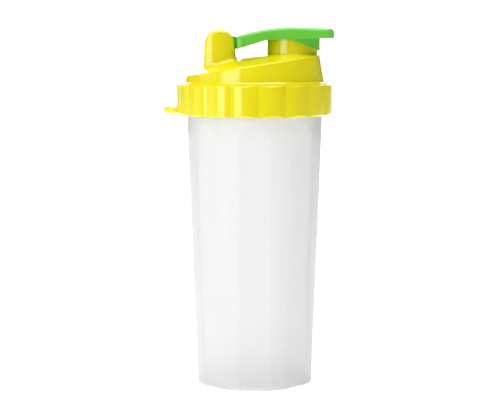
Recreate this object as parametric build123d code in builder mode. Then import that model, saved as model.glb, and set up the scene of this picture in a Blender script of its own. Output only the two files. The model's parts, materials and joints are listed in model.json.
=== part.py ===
from build123d import *
from math import cos, hypot, radians, sin, tan
import os

os.makedirs("parts", exist_ok=True)

# Protein shaker bottle. Millimetres, +Z up, origin at the centre of the underside.
# The spout is on the +X side, the lever hinge on the -X side, the front is -Y.

# ---- Tumbler ----
facet_count = 8
facet_half_width = 9.6
facet_edge_rounding = 2.0
base_apothem = 35.85
waist_height = 158.0
waist_apothem = 41.95
shoulder_height = 166.0
shoulder_facet_half_width = 1.5
foot_rounding = 0.8
neck_radius = 42.6
rim_height = 186.5
tumbler_wall = 1.8
floor_height = 3.5
foot_groove_outer = 30.0
foot_groove_inner = 14.0
foot_groove_depth = 1.0

# ---- Screw thread shared by neck and lid ----
thread_lead = 10.0
thread_starts = 2
thread_root_width = 2.2
thread_crest_width = 1.2
neck_thread_crest = 44.1
neck_thread_start = 173.5
neck_thread_rise = 9.0
neck_thread_angle = 20.0
lid_bore_radius = 44.5
lid_thread_crest = 43.0
lid_thread_rise = 5.0
lid_thread_angle = 110.0

# ---- Lid ----
lobe_count = 18
lobe_peak_radius = 49.1
lobe_valley_radius = 47.8
lobe_phase = -86.9
skirt_bottom = 169.8
shelf_height = 189.0
seat_height = 188.4
web_top = 190.6
dome_base_radius = 43.9
dome_base_height = 191.5
dome_lean = 10.0
crease_rounding = 0.9
crown_radius = 155.0
crown_centre = (22.0, 0, 53.6)
lid_wall = 2.0
plug_ring_outer = 40.4
plug_ring_inner = 38.8
plug_ring_bottom = 183.2

# ---- Spout ----
spout_x = 23.7
spout_base_radius = 16.1
spout_rim_radius = 15.7
spout_bore_radius = 13.4
spout_root = 203.0
spout_rim = 219.0

# ---- Hinge turret ----
pivot_x = -22.0
pivot_z = 213.6
turret_top_radius = 9.5
turret_draft = 0.08
turret_root = 197.0
turret_half_depth = 11.5
turret_face_radius = 22.0
turret_root_fillet = 1.8
spout_root_fillet = 0.6
slot_half_width = 4.7
slot_floor = 205.4
pin_radius = 2.5
pin_near_end = -9.0
pin_far_end = 10.9
ear_hole_radius = 2.48

# ---- Strap tab ----
tab_centre_x = -50.1
tab_radius = 7.5
tab_bottom = 170.8
tab_thickness = 4.2
eyelet_x = -53.2
eyelet_radius = 2.2

# ---- Flip cap ----
cap_half_width = 17.8
cap_start_x = -11.0
cap_tip_x = 49.4
cap_wall = 1.9
knuckle_radius = 7.4
knuckle_half_width = 4.3
knuckle_bore_radius = 2.56
cap_skirt_outer = 17.4
cap_skirt_inner = 16.4
cap_skirt_bottom = 210.1
cap_plate_height = 222.2
boss_radius = 3.5

# ---- Inner pieces ----
seal_inner = 40.7
seal_outer = 44.2
seal_bottom = 186.9
seal_thickness = 1.2
sieve_radius = 38.84
sieve_bottom = 184.0
sieve_height = 4.6
sieve_plate = 1.8
sieve_bar = 1.7
sieve_pitch = 6.6


def polar(radius, angle):
    """Point on a circle about the origin, angle in degrees."""
    return (radius * cos(radians(angle)), radius * sin(radians(angle)))


def facet_section(height, apothem, half_width, inset=0):
    """Level circle cut by an octagon that leaves flats of a half width, the front one facing -Y."""
    with BuildSketch(Plane.XY.offset(height)) as section:
        Circle(hypot(apothem, half_width) - inset)
        RegularPolygon(
            apothem - inset,
            facet_count,
            major_radius=False,
            rotation=180 / facet_count,
            mode=Mode.INTERSECT,
        )
        fillet(section.vertices(), facet_edge_rounding)
    return section.sketch.face()


def cone_radius(height):
    """Radius of the dome's leaning side wall at a height."""
    return dome_base_radius - (height - dome_base_height) * tan(radians(dome_lean))


def helix_thread(root_radius, crest_radius, start, rise):
    """One helical ridge standing off a round wall, its root sunk into the wall."""
    depth = crest_radius - root_radius
    sunk = -0.6 if depth > 0 else 0.6
    with BuildPart() as ridge:
        with BuildLine() as path:
            Helix(pitch=thread_lead, height=rise, radius=root_radius, center=(0, 0, start))
        section_plane = Plane(origin=path.line @ 0, x_dir=(1, 0, 0), z_dir=path.line % 0)
        with BuildSketch(section_plane):
            with BuildLine():
                Polyline(
                    (sunk, -thread_root_width / 2),
                    (0, -thread_root_width / 2),
                    (depth, -thread_crest_width / 2),
                    (depth, thread_crest_width / 2),
                    (0, thread_root_width / 2),
                    (sunk, thread_root_width / 2),
                    close=True,
                )
            make_face()
        sweep(path=path.wire(), is_frenet=True)
    return ridge.part


# ---------------------------------------------------------------- tumbler
# Inside of the cup: the outer form moved in by the wall, from the floor to the open rim.
draft = (waist_apothem - base_apothem) / waist_height
floor_apothem = base_apothem + draft * floor_height
inside_sections = [
    facet_section(floor_height, floor_apothem, facet_half_width, tumbler_wall),
    facet_section(waist_height, waist_apothem, facet_half_width, tumbler_wall),
    facet_section(shoulder_height, neck_radius, shoulder_facet_half_width, tumbler_wall),
]
with BuildPart() as cup_inside:
    loft(inside_sections, ruled=True)
    with Locations((0, 0, shoulder_height)):
        Cylinder(
            neck_radius - tumbler_wall,
            rim_height - shoulder_height + 1,
            align=(Align.CENTER, Align.CENTER, Align.MIN),
        )

neck_ridge = helix_thread(neck_radius, neck_thread_crest, neck_thread_start, neck_thread_rise)

# Eight flats of even width on a cone; they run out between the waist and the round neck.
outside_sections = [
    facet_section(0, base_apothem, facet_half_width),
    facet_section(waist_height, waist_apothem, facet_half_width),
    facet_section(shoulder_height, neck_radius, shoulder_facet_half_width),
]
with BuildPart() as cup:
    loft(outside_sections, ruled=True)
    with Locations((0, 0, shoulder_height)):
        Cylinder(
            neck_radius,
            rim_height - shoulder_height,
            align=(Align.CENTER, Align.CENTER, Align.MIN),
        )
    add(cup_inside.part, mode=Mode.SUBTRACT)
    rim_edges = cup.edges().filter_by(GeomType.CIRCLE).group_by(Axis.Z)[-1]
    fillet(rim_edges, 0.6)
    fillet(cup.edges().group_by(Axis.Z)[0], foot_rounding)
    # Shallow ring recess under the floor, between the foot and the centre pad.
    with BuildSketch(Plane.XY):
        Circle(foot_groove_outer)
        Circle(foot_groove_inner, mode=Mode.SUBTRACT)
    extrude(amount=foot_groove_depth, mode=Mode.SUBTRACT)

with BuildPart() as tumbler:
    add(cup.part)
    for turn in range(thread_starts):
        with Locations(Rotation(0, 0, neck_thread_angle + turn * 360 / thread_starts)):
            add(neck_ridge)
tumbler.part.label = "tumbler"

# ---------------------------------------------------------------- lid
# Hinge turret: thumb shape from the front, convex faces seen from above.
with BuildPart() as turret:
    foot_spread = (pivot_z - turret_root) * turret_draft
    with BuildSketch(Plane.XZ):
        with BuildLine():
            ThreePointArc(
                (pivot_x - turret_top_radius, pivot_z),
                (pivot_x, pivot_z + turret_top_radius),
                (pivot_x + turret_top_radius, pivot_z),
            )
            Polyline(
                (pivot_x + turret_top_radius, pivot_z),
                (pivot_x + turret_top_radius + foot_spread, turret_root),
                (pivot_x - turret_top_radius - foot_spread / 3, turret_root),
                (pivot_x - turret_top_radius, pivot_z),
            )
        make_face()
    extrude(amount=turret_half_depth + 2, both=True)
    plan_half_width = 12.5
    plan_edge_y = turret_half_depth - turret_face_radius + (turret_face_radius**2 - plan_half_width**2) ** 0.5
    with BuildSketch(Plane.XY.offset(turret_root)):
        with BuildLine():
            ThreePointArc(
                (pivot_x - plan_half_width, -plan_edge_y),
                (pivot_x, -turret_half_depth),
                (pivot_x + plan_half_width, -plan_edge_y),
            )
            Line((pivot_x + plan_half_width, -plan_edge_y), (pivot_x + plan_half_width, plan_edge_y))
            ThreePointArc(
                (pivot_x + plan_half_width, plan_edge_y),
                (pivot_x, turret_half_depth),
                (pivot_x - plan_half_width, plan_edge_y),
            )
            Line((pivot_x - plan_half_width, plan_edge_y), (pivot_x - plan_half_width, -plan_edge_y))
        make_face()
    extrude(amount=40, mode=Mode.INTERSECT)
    upper_edges = turret.edges().filter_by(lambda edge: edge.center().Z > turret_root + 1)
    fillet(upper_edges, 2.4)

# The lid's ridge runs midway between two turns of the neck's ridge.
lid_thread_start = (
    neck_thread_start
    + thread_lead * (lid_thread_angle - neck_thread_angle) / 360
    - thread_lead / (2 * thread_starts)
)
lid_ridge = helix_thread(lid_bore_radius, lid_thread_crest, lid_thread_start, lid_thread_rise)

with BuildPart() as lid_inside:
    # Hollow of the dome, one wall inside the cone and the crown.
    with BuildSketch(Plane.XZ):
        with BuildLine():
            Polyline(
                (0, web_top),
                (cone_radius(web_top) - lid_wall, web_top),
                (cone_radius(212) - lid_wall, 212),
                (0, 212),
                close=True,
            )
        make_face()
    revolve(axis=Axis.Z)
    with Locations(crown_centre):
        Sphere(crown_radius - lid_wall, rotation=(90, 0, 0), mode=Mode.INTERSECT)

with BuildPart() as skirt:
    # Fluted skirt with a rounded lower edge and a stepped shoulder.
    with BuildSketch(Plane.XY.offset(skirt_bottom)):
        with BuildLine():
            for lobe in range(lobe_count):
                start_angle = lobe_phase + lobe * 360 / lobe_count
                ThreePointArc(
                    polar(lobe_valley_radius, start_angle),
                    polar(lobe_peak_radius, start_angle + 180 / lobe_count),
                    polar(lobe_valley_radius, start_angle + 360 / lobe_count),
                )
        lobes = make_face()
        fillet(lobes.vertices(), 0.7)
    extrude(amount=25)
    with BuildSketch(Plane.XZ):
        with BuildLine():
            Line((0, skirt_bottom), (46.8, skirt_bottom))
            TangentArc((46.8, skirt_bottom), (49.3, skirt_bottom + 2.5), tangent=(1, 0))
            Line((49.3, skirt_bottom + 2.5), (49.3, shelf_height - 1.2))
            TangentArc((49.3, shelf_height - 1.2), (48.1, shelf_height), tangent=(0, 1))
            Polyline(
                (48.1, shelf_height),
                (46.6, shelf_height + 0.4),
                (46.4, shelf_height + 0.9),
                (44.9, shelf_height + 1.5),
                (44.3, shelf_height + 2.2),
                (0, shelf_height + 2.2),
                (0, skirt_bottom),
            )
        make_face()
    revolve(axis=Axis.Z, mode=Mode.INTERSECT)

with BuildPart() as tab:
    # Flat strap loop standing off the skirt.
    with BuildSketch(Plane.XY.offset(tab_bottom)):
        with Locations((tab_centre_x, 0)):
            Circle(tab_radius)
        with Locations((tab_centre_x + 2.6, 0)):
            Rectangle(5.2, 2 * tab_radius)
    extrude(amount=tab_thickness)
    fillet(tab.edges().filter_by(GeomType.CIRCLE), 1.6)
    with Locations((eyelet_x, 0, tab_bottom)):
        Cylinder(
            eyelet_radius,
            tab_thickness,
            align=(Align.CENTER, Align.CENTER, Align.MIN),
            mode=Mode.SUBTRACT,
        )

with BuildPart() as spout:
    with Locations((spout_x, 0, spout_root)):
        Cone(
            spout_base_radius + 0.1,
            spout_rim_radius,
            spout_rim - spout_root,
            align=(Align.CENTER, Align.CENTER, Align.MIN),
        )

with BuildPart() as lid:
    # Leaning side wall of the dome cut by the shallow spherical crown.
    with BuildSketch(Plane.XZ):
        with BuildLine():
            Polyline(
                (0, seat_height),
                (cone_radius(seat_height), seat_height),
                (cone_radius(214), 214),
                (0, 214),
                close=True,
            )
        make_face()
    revolve(axis=Axis.Z)
    with Locations(crown_centre):
        Sphere(crown_radius, rotation=(90, 0, 0), mode=Mode.INTERSECT)
    crease = lid.edges().filter_by(lambda edge: edge.geom_type not in (GeomType.CIRCLE, GeomType.LINE))
    fillet(crease, crease_rounding)
    # Turret and spout rise from the crown with soft roots.
    dome = lid.part
    add(turret.part)
    fillet(new_edges(dome, turret.part, combined=lid.part), turret_root_fillet)
    dome_and_turret = lid.part
    add(spout.part)
    fillet(new_edges(dome_and_turret, spout.part, combined=lid.part), spout_root_fillet)
    add(skirt.part)
    add(tab.part)
    # Hollows: skirt bore, dome, passage through the plug ring, spout bore.
    with Locations((0, 0, skirt_bottom)):
        Cylinder(
            lid_bore_radius,
            seat_height - skirt_bottom,
            align=(Align.CENTER, Align.CENTER, Align.MIN),
            mode=Mode.SUBTRACT,
        )
        Cylinder(
            plug_ring_inner,
            web_top - skirt_bottom + 1,
            align=(Align.CENTER, Align.CENTER, Align.MIN),
            mode=Mode.SUBTRACT,
        )
    add(lid_inside.part, mode=Mode.SUBTRACT)
    with Locations((spout_x, 0, spout_root - 5)):
        Cylinder(
            spout_bore_radius,
            spout_rim - spout_root + 6,
            align=(Align.CENTER, Align.CENTER, Align.MIN),
            mode=Mode.SUBTRACT,
        )
    fillet(lid.edges().filter_by(GeomType.CIRCLE).group_by(Axis.Z)[-1], 0.8)
    # Plug ring that reaches into the neck.
    with BuildSketch(Plane.XY.offset(plug_ring_bottom)):
        Circle(plug_ring_outer)
        Circle(plug_ring_inner, mode=Mode.SUBTRACT)
    extrude(amount=seat_height - plug_ring_bottom + 1)
    # Slot between the two ears and the pin hole, blind in the near ear.
    with Locations((pivot_x, 0, slot_floor)):
        Box(
            30,
            2 * slot_half_width,
            30,
            align=(Align.CENTER, Align.CENTER, Align.MIN),
            mode=Mode.SUBTRACT,
        )
    with Locations(Location((pivot_x, pin_near_end - 0.2, pivot_z), (-90, 0, 0))):
        Cylinder(
            ear_hole_radius,
            30,
            align=(Align.CENTER, Align.CENTER, Align.MIN),
            mode=Mode.SUBTRACT,
        )
    for turn in range(thread_starts):
        with Locations(Rotation(0, 0, lid_thread_angle + turn * 360 / thread_starts)):
            add(lid_ridge)
lid.part.label = "lid"

# ---------------------------------------------------------------- flip cap
with BuildPart() as cap_skirt:
    # Skirt round the spout, its lower edge sloping up towards the hinge.
    with Locations((spout_x, 0, cap_skirt_bottom)):
        Cylinder(
            cap_skirt_outer,
            cap_plate_height - cap_skirt_bottom + 0.6,
            align=(Align.CENTER, Align.CENTER, Align.MIN),
        )
    with BuildSketch(Plane.XZ):
        with BuildLine():
            Polyline(
                (40.2, cap_skirt_bottom - 1),
                (40.2, cap_skirt_bottom),
                (21.0, 217.1),
                (14.0, 219.7),
                (0, 219.7),
                (0, cap_skirt_bottom - 1),
                close=True,
            )
        make_face()
    extrude(amount=cap_skirt_outer + 1, both=True, mode=Mode.SUBTRACT)

with BuildPart() as flip_cap:
    # Wide lever: side profile across the full width, soft corners and upper edge.
    with BuildSketch(Plane.XZ) as cap_profile:
        with BuildLine():
            Line((cap_start_x, 210.9), (cap_start_x, 219.1))
            ThreePointArc((cap_start_x, 219.1), (4.5, 222.8), (21.8, 224.6))
            Line((21.8, 224.6), (cap_tip_x, 223.7))
            Line((cap_tip_x, 223.7), (cap_tip_x, 217.7))
            Line((cap_tip_x, 217.7), (21.8, 217.2))
            Line((21.8, 217.2), (7.6, 216.6))
            Line((7.6, 216.6), (cap_start_x, 210.9))
        make_face()
    extrude(amount=cap_half_width, both=True)
    upright = flip_cap.edges().filter_by(Axis.Z)
    fillet(upright.group_by(Axis.X)[-1], 6.0)
    fillet(flip_cap.edges().filter_by(Axis.Z).group_by(Axis.X)[0], 3.0)
    fillet(flip_cap.edges().filter_by(lambda edge: edge.center().Z > 218.3), 2.6)
    # Hollow underside.
    with BuildSketch(Plane.XZ):
        with BuildLine():
            Polyline(
                (cap_start_x + cap_wall, 205),
                (cap_start_x + cap_wall, 217.0),
                (4.5, 219.9),
                (14.0, cap_plate_height),
                (cap_tip_x - cap_wall, cap_plate_height - 0.4),
                (cap_tip_x - cap_wall, 205),
                close=True,
            )
        make_face()
    extrude(amount=cap_half_width - cap_wall, both=True, mode=Mode.SUBTRACT)
    add(cap_skirt.part)
    with Locations((spout_x, 0, cap_skirt_bottom - 5)):
        Cylinder(
            cap_skirt_inner,
            cap_plate_height - cap_skirt_bottom + 5,
            align=(Align.CENTER, Align.CENTER, Align.MIN),
            mode=Mode.SUBTRACT,
        )
    # Arm and knuckle that turn between the ears, with the pin bore.
    with BuildSketch(Plane.XZ):
        with BuildLine():
            Polyline(
                (pivot_x, pivot_z - knuckle_radius),
                (cap_start_x, 211.4),
                (cap_start_x + 1.0, 211.9),
                (cap_start_x + 1.0, 218.2),
                (pivot_x + 3.0, pivot_z + 6.6),
                (pivot_x, pivot_z),
                close=True,
            )
        make_face()
        with Locations((pivot_x, pivot_z)):
            Circle(knuckle_radius)
    extrude(amount=knuckle_half_width, both=True)
    with Locations(Location((pivot_x, 0, pivot_z), (90, 0, 0))):
        Cylinder(knuckle_bore_radius, 4 * knuckle_half_width, mode=Mode.SUBTRACT)
    # Boss that holds the soft plug.
    with Locations((spout_x, 0, cap_plate_height + 0.5)):
        Cylinder(boss_radius, 3.3, align=(Align.CENTER, Align.CENTER, Align.MAX))
flip_cap.part.label = "flip_cap"

# ---------------------------------------------------------------- hinge pin
with BuildPart() as hinge_pin:
    with Locations(Location((pivot_x, pin_near_end, pivot_z), (-90, 0, 0))):
        Cylinder(
            pin_radius,
            pin_far_end - pin_near_end,
            align=(Align.CENTER, Align.CENTER, Align.MIN),
        )
    chamfer(hinge_pin.edges().filter_by(GeomType.CIRCLE), 0.5)
hinge_pin.part.label = "hinge_pin"

# ---------------------------------------------------------------- spout plug
# Soft stopper: sealing flange over the rim, tapered hollow body in the bore.
with BuildPart() as spout_plug:
    with BuildSketch(Plane.XZ):
        with BuildLine():
            Polyline(
                (boss_radius - 0.05, 221.9),
                (14.6, 221.9),
                (14.6, 219.4),
                (13.0, 219.4),
                (12.9, 216.6),
                (12.3, 215.0),
                (11.4, 214.5),
                (10.6, 215.0),
                (10.4, 219.2),
                (boss_radius - 0.05, 219.2),
                close=True,
            )
        make_face()
    revolve(axis=Axis.Z)
spout_plug.part = spout_plug.part.moved(Location((spout_x, 0, 0)))
spout_plug.part.label = "spout_plug"

# ---------------------------------------------------------------- lid seal
with BuildPart() as lid_seal:
    with BuildSketch(Plane.XY.offset(seal_bottom)):
        Circle(seal_outer)
        Circle(seal_inner, mode=Mode.SUBTRACT)
    extrude(amount=seal_thickness)
    fillet(lid_seal.edges(), 0.35)
lid_seal.part.label = "lid_seal"

# ---------------------------------------------------------------- mixing sieve
with BuildPart() as mixing_sieve:
    with BuildSketch(Plane.XY.offset(sieve_bottom)):
        Circle(sieve_radius)
        Circle(sieve_radius - 1.8, mode=Mode.SUBTRACT)
    extrude(amount=sieve_height)
    with BuildSketch(Plane.XY.offset(sieve_bottom)):
        Circle(sieve_radius - 1.0)
        for column in range(-5, 6):
            for row in range(-5, 6):
                if (column**2 + row**2) ** 0.5 * sieve_pitch < sieve_radius - 5.6:
                    with Locations((column * sieve_pitch, row * sieve_pitch)):
                        RectangleRounded(
                            sieve_pitch - sieve_bar, sieve_pitch - sieve_bar, 0.6, mode=Mode.SUBTRACT
                        )
    extrude(amount=sieve_plate)
mixing_sieve.part.label = "mixing_sieve"

for piece in (tumbler, lid, flip_cap, hinge_pin, spout_plug, lid_seal, mixing_sieve):
    export_step(piece.part, "parts/" + piece.part.label + ".step")
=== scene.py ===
import json
from math import cos, pi, radians, sin

import bpy
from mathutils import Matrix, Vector


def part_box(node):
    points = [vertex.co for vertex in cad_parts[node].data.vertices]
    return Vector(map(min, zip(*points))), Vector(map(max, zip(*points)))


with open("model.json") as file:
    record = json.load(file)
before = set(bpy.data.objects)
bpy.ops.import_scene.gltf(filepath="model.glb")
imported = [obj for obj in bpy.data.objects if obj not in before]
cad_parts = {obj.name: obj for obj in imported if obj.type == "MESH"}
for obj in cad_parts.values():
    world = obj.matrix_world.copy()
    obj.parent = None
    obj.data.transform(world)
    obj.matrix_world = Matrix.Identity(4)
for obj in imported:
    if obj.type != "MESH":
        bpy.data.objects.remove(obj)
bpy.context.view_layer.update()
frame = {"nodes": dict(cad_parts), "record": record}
nodes = frame["nodes"]

# ---------------------------------------------------------------- colours, two close shades each
YELLOW = (0.86, 0.765, 0.0012), (0.84, 0.735, 0.0008)
GREEN = (0.165, 0.635, 0.062), (0.145, 0.595, 0.054)
PIN_YELLOW = (0.90, 0.77, 0.002), (0.86, 0.73, 0.002)
SIEVE_GREY = (0.84, 0.85, 0.85), (0.80, 0.81, 0.81)
MILKY_WHITE = (0.975, 0.975, 0.98), (0.955, 0.955, 0.962)
SILICONE_GREY = (0.80, 0.80, 0.78), (0.72, 0.72, 0.70)

# ---------------------------------------------------------------- materials


def new_material(name):
    """A node material with only its output and shader."""
    material = bpy.data.materials.new(name)
    material.use_nodes = True
    tree = material.node_tree
    tree.nodes.clear()
    output = tree.nodes.new("ShaderNodeOutputMaterial")
    shader = tree.nodes.new("ShaderNodeBsdfPrincipled")
    tree.links.new(shader.outputs["BSDF"], output.inputs["Surface"])
    return material, tree, shader


def noise(tree, scale, detail=3.0, stretch=(1, 1, 1)):
    """Noise fixed to the piece, drawn out along an axis where its stretch is below 1."""
    place = tree.nodes.new("ShaderNodeTexCoord")
    mapping = tree.nodes.new("ShaderNodeMapping")
    mapping.inputs["Scale"].default_value = stretch
    texture = tree.nodes.new("ShaderNodeTexNoise")
    texture.inputs["Scale"].default_value = scale
    texture.inputs["Detail"].default_value = detail
    tree.links.new(place.outputs["Object"], mapping.inputs["Vector"])
    tree.links.new(mapping.outputs["Vector"], texture.inputs["Vector"])
    return texture.outputs["Fac"]


def spread(tree, value, low, high, start=0.3, end=0.7):
    """The value's range from start to end, mapped to run from low to high."""
    remap = tree.nodes.new("ShaderNodeMapRange")
    remap.inputs["From Min"].default_value = start
    remap.inputs["From Max"].default_value = end
    remap.inputs["To Min"].default_value = low
    remap.inputs["To Max"].default_value = high
    tree.links.new(value, remap.inputs["Value"])
    return remap.outputs["Result"]


def tint(tree, shader, scale, shades):
    """Base colour that drifts slowly between two close shades."""
    mix = tree.nodes.new("ShaderNodeMix")
    mix.data_type = "RGBA"
    mix.inputs["A"].default_value = (*shades[0], 1)
    mix.inputs["B"].default_value = (*shades[1], 1)
    tree.links.new(spread(tree, noise(tree, scale), 0, 1), mix.inputs["Factor"])
    tree.links.new(mix.outputs["Result"], shader.inputs["Base Color"])


def uneven_roughness(tree, shader, pattern, low, high):
    """Roughness that varies with a pattern between two values."""
    tree.links.new(spread(tree, pattern, low, high), shader.inputs["Roughness"])


def bumps(tree, shader, layers):
    """Stacked bumps; each layer is a height source, its depth in metres and its strength."""
    previous = None
    for height, depth, strength in layers:
        bump = tree.nodes.new("ShaderNodeBump")
        bump.inputs["Distance"].default_value = depth
        bump.inputs["Strength"].default_value = strength
        tree.links.new(height, bump.inputs["Height"])
        if previous is not None:
            tree.links.new(previous, bump.inputs["Normal"])
        previous = bump.outputs["Normal"]
    tree.links.new(previous, shader.inputs["Normal"])


def scratches(tree, scale, stretch):
    """Sparse hairlines: the thin bands where a drawn-out noise crosses its middle value."""
    middle_value = 0.5
    half_width = 0.006
    near_middle = tree.nodes.new("ShaderNodeMath")
    near_middle.operation = "COMPARE"
    near_middle.inputs[1].default_value = middle_value
    near_middle.inputs[2].default_value = half_width
    tree.links.new(noise(tree, scale, detail=1, stretch=stretch), near_middle.inputs[0])
    return near_middle.outputs["Value"]


def moulded_plastic(name, shades, roughness, specular):
    """Opaque moulding: slow colour drift, handling haze, mould texture and hairline scratches."""
    material, tree, shader = new_material(name)
    tint(tree, shader, 22, shades)
    haze = noise(tree, 60, detail=5, stretch=(1, 1, 0.6))
    uneven_roughness(tree, shader, haze, roughness * 0.85, roughness * 1.25)
    shader.inputs["Specular IOR Level"].default_value = specular
    sink = noise(tree, 35, detail=1)
    grain = noise(tree, 900, detail=2, stretch=(1, 1, 0.15))
    hairlines = scratches(tree, 60, (1, 1, 0.08))
    bumps(tree, shader, [(sink, 0.0004, 0.10), (grain, 0.00002, 0.12), (hairlines, 0.00001, 0.10)])
    return material


def milky_plastic(name):
    """Translucent cup wall: light passes through it scattered, with a satin sheen and fine wipe marks."""
    material, tree, shader = new_material(name)
    tint(tree, shader, 16, MILKY_WHITE)
    wipe_marks = noise(tree, 120, detail=4, stretch=(1, 1, 0.3))
    uneven_roughness(tree, shader, wipe_marks, 0.30, 0.38)
    shader.inputs["Transmission Weight"].default_value = 0.62
    shader.inputs["IOR"].default_value = 1.28
    waves = noise(tree, 28, detail=1)
    grain = noise(tree, 260, detail=2)
    bumps(tree, shader, [(waves, 0.0004, 0.08), (grain, 0.00004, 0.08)])
    return material


def silicone(name):
    """Soft pale rubber, matt with a dusty bloom."""
    material, tree, shader = new_material(name)
    tint(tree, shader, 90, SILICONE_GREY)
    uneven_roughness(tree, shader, noise(tree, 300), 0.5, 0.7)
    bumps(tree, shader, [(noise(tree, 1200), 0.00003, 0.3)])
    return material


looks = {
    "milky_plastic": milky_plastic("milky_plastic"),
    "yellow_plastic": moulded_plastic("yellow_plastic", YELLOW, roughness=0.13, specular=0.85),
    "green_plastic": moulded_plastic("green_plastic", GREEN, roughness=0.20, specular=0.7),
    "pin_plastic": moulded_plastic("pin_plastic", PIN_YELLOW, roughness=0.2, specular=0.6),
    "sieve_plastic": moulded_plastic("sieve_plastic", SIEVE_GREY, roughness=0.4, specular=0.4),
    "soft_seal": silicone("soft_seal"),
}

slot_of = {entry["node"]: entry["material_slot"] for entry in frame["record"]["subparts"]}
for name, piece in nodes.items():
    piece.data.materials.clear()
    piece.data.materials.append(looks[slot_of[name]])

# ---------------------------------------------------------------- room
FLOOR_HALF = 3.0
FLOOR_GAP = 0.0005
FLOOR_GLOW = 0.69
FLOOR_DARK_Y = -1.0
FLOOR_BRIGHT_Y = 0.22
BACKDROP_LEFT = -0.66
BACKDROP_RIGHT = 0.62
BACKDROP_Y = 1.6
BACKDROP_TOP = 1.2
BACKDROP_GLOW = 1.2


def glowing(name, strength, dim=None, bright=None):
    """White surface lit from within. With two values of Y it fades from full at bright to none at dim."""
    material, tree, shader = new_material(name)
    shader.inputs["Base Color"].default_value = (0.9, 0.9, 0.9, 1)
    shader.inputs["Roughness"].default_value = 0.8
    shader.inputs["Specular IOR Level"].default_value = 0.0
    shader.inputs["Emission Color"].default_value = (1, 1, 1, 1)
    shader.inputs["Emission Strength"].default_value = strength
    if dim is not None:
        place = tree.nodes.new("ShaderNodeTexCoord")
        split = tree.nodes.new("ShaderNodeSeparateXYZ")
        tree.links.new(place.outputs["Object"], split.inputs["Vector"])
        fade = spread(tree, split.outputs["Y"], 0.0, strength, dim, bright)
        tree.links.new(fade, shader.inputs["Emission Strength"])
    return material


def sheet_of(name, corners, material):
    """One flat face of the room."""
    mesh = bpy.data.meshes.new(name)
    mesh.from_pydata(corners, [], [tuple(range(len(corners)))])
    mesh.materials.append(material)
    surface = bpy.data.objects.new(name, mesh)
    bpy.context.scene.collection.objects.link(surface)


low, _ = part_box("tumbler")
lid_low, lid_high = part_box("lid")
lid_middle = Vector((0, 0, (lid_low.z + lid_high.z) / 2))
floor_z = low.z - FLOOR_GAP
sheet_of(
    "floor",
    [
        (-FLOOR_HALF, -FLOOR_HALF, floor_z),
        (FLOOR_HALF, -FLOOR_HALF, floor_z),
        (FLOOR_HALF, FLOOR_HALF, floor_z),
        (-FLOOR_HALF, FLOOR_HALF, floor_z),
    ],
    glowing("floor_white", FLOOR_GLOW, FLOOR_DARK_Y, FLOOR_BRIGHT_Y),
)
sheet_of(
    "backdrop",
    [
        (BACKDROP_LEFT, BACKDROP_Y, floor_z),
        (BACKDROP_RIGHT, BACKDROP_Y, floor_z),
        (BACKDROP_RIGHT, BACKDROP_Y, BACKDROP_TOP),
        (BACKDROP_LEFT, BACKDROP_Y, BACKDROP_TOP),
    ],
    glowing("backdrop_white", BACKDROP_GLOW),
)

# ---------------------------------------------------------------- lights
WORLD_STRENGTH = 0.16


def panel(name, centre, width, height, brightness):
    """Softbox facing the lid. Its brightness is what a mirror would show of it."""
    data = bpy.data.lights.new(name, "AREA")
    data.shape = "RECTANGLE"
    data.size = width
    data.size_y = height
    data.energy = brightness * pi * width * height
    light = bpy.data.objects.new(name, data)
    light.location = centre
    light.rotation_euler = (lid_middle - Vector(centre)).to_track_quat("-Z", "Y").to_euler()
    bpy.context.scene.collection.objects.link(light)


def around(azimuth, distance, height):
    """A point round the bottle; azimuth is measured leftwards from the camera's side."""
    return (-distance * sin(radians(azimuth)), -distance * cos(radians(azimuth)), height)


panel("key_softbox", around(41, 1.1, 0.45), width=0.6, height=0.9, brightness=2.5)
panel("left_softbox", around(85, 1.0, 0.3), width=0.6, height=0.7, brightness=0.5)
panel("front_top_softbox", (-0.05, -0.42, 1.45), width=1.5, height=1.1, brightness=2.5)
panel("overhead_softbox", (0.1, 0.35, 1.5), width=1.4, height=1.2, brightness=2.0)

world = bpy.data.worlds.new("studio")
world.use_nodes = True
background = world.node_tree.nodes["Background"]
background.inputs["Color"].default_value = (1, 1, 1, 1)
background.inputs["Strength"].default_value = WORLD_STRENGTH
bpy.context.scene.world = world
bpy.context.scene.view_settings.view_transform = "Standard"
bpy.context.scene.view_settings.look = "None"

# ---------------------------------------------------------------- camera
CAMERA_DISTANCE = 0.905
CAMERA_HEIGHT = 0.2166
CAMERA_DIP_DEGREES = 6.384
SENSOR_WIDTH = 36
FOCAL_LENGTH = 104.0
SIDE_SHIFT = -0.0145

camera_data = bpy.data.cameras.new("camera")
camera_data.sensor_fit = "HORIZONTAL"
camera_data.sensor_width = SENSOR_WIDTH
camera_data.lens = FOCAL_LENGTH
camera_data.shift_x = SIDE_SHIFT
camera = bpy.data.objects.new("camera", camera_data)
camera.location = (0, -CAMERA_DISTANCE, CAMERA_HEIGHT)
camera.rotation_euler = (radians(90 - CAMERA_DIP_DEGREES), 0, 0)
bpy.context.scene.collection.objects.link(camera)
bpy.context.scene.camera = camera
